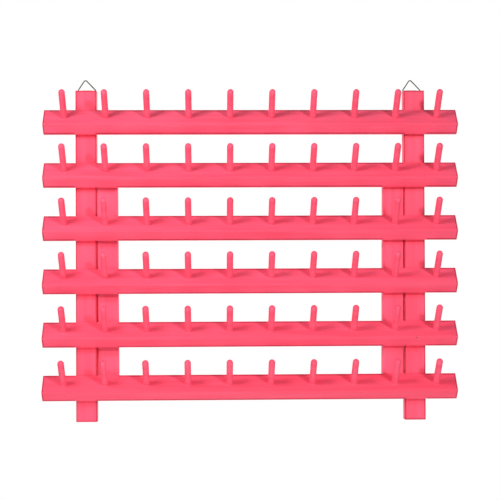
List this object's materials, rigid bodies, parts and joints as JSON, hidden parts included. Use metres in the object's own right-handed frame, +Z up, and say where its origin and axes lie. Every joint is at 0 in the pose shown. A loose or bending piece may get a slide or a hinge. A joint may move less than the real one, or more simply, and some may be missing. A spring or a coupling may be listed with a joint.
{
  "type": "thread rack",
  "caption": "Painted wooden thread rack: bevelled rails of slanted spool pegs on two uprights, with folding rear legs and triangular wire hanging rings.",
  "frame": {"origin": "middle plane of the rack, in the plane of the upright wire rings, level with the points where wall hooks bear under their bends", "axes": "+X to the right along the rails, +Y from the front to the wall, +Z up along the uprights"},
  "size_m": [0.4015, 0.0507, 0.3331],
  "materials": {
    "painted_wood": "coral pink satin paint with faint brush marks along the grain",
    "brass_wire": "dull, darkened brass",
    "screw_steel": "zinc plated"
  },
  "bodies": {
    "frame": {"left_upright": "painted_wood", "right_upright": "painted_wood", "rail_1": "painted_wood", "rail_2": "painted_wood", "rail_3": "painted_wood", "rail_4": "painted_wood", "rail_5": "painted_wood", "rail_6": "painted_wood", "rail_1_pegs": "painted_wood", "rail_2_pegs": "painted_wood", "rail_3_pegs": "painted_wood", "rail_4_pegs": "painted_wood", "rail_5_pegs": "painted_wood", "rail_6_pegs": "painted_wood", "left_rail_screws": "screw_steel", "right_rail_screws": "screw_steel", "left_pivot_screw": "screw_steel", "right_pivot_screw": "screw_steel", "left_hanger_strap": "brass_wire", "right_hanger_strap": "brass_wire", "left_hanger_screw": "screw_steel", "right_hanger_screw": "screw_steel"},
    "left_leg": {"left_leg": "painted_wood"},
    "right_leg": {"right_leg": "painted_wood"},
    "left_ring": {"left_hanger_ring": "brass_wire"},
    "right_ring": {"right_hanger_ring": "brass_wire"}
  },
  "joints": [
    {"name": "left_leg_swing", "type": "hinge", "parent": "frame", "child": "left_leg", "pos_m": [-0.14927, -0.00813, -0.09037], "axis": [1, 0, 0], "range_deg": [-1.5, 28.5]},
    {"name": "right_leg_swing", "type": "hinge", "parent": "frame", "child": "right_leg", "pos_m": [0.14927, -0.00813, -0.09037], "axis": [1, 0, 0], "range_deg": [0, 30]},
    {"name": "left_ring_swing", "type": "hinge", "parent": "frame", "child": "left_ring", "pos_m": [-0.15965, 0, -0.01037], "axis": [-1, 0, 0], "range_deg": [-80, 165]},
    {"name": "right_ring_swing", "type": "hinge", "parent": "frame", "child": "right_ring", "pos_m": [0.15965, 0, -0.01037], "axis": [-1, 0, 0], "range_deg": [-80, 165]}
  ]
}
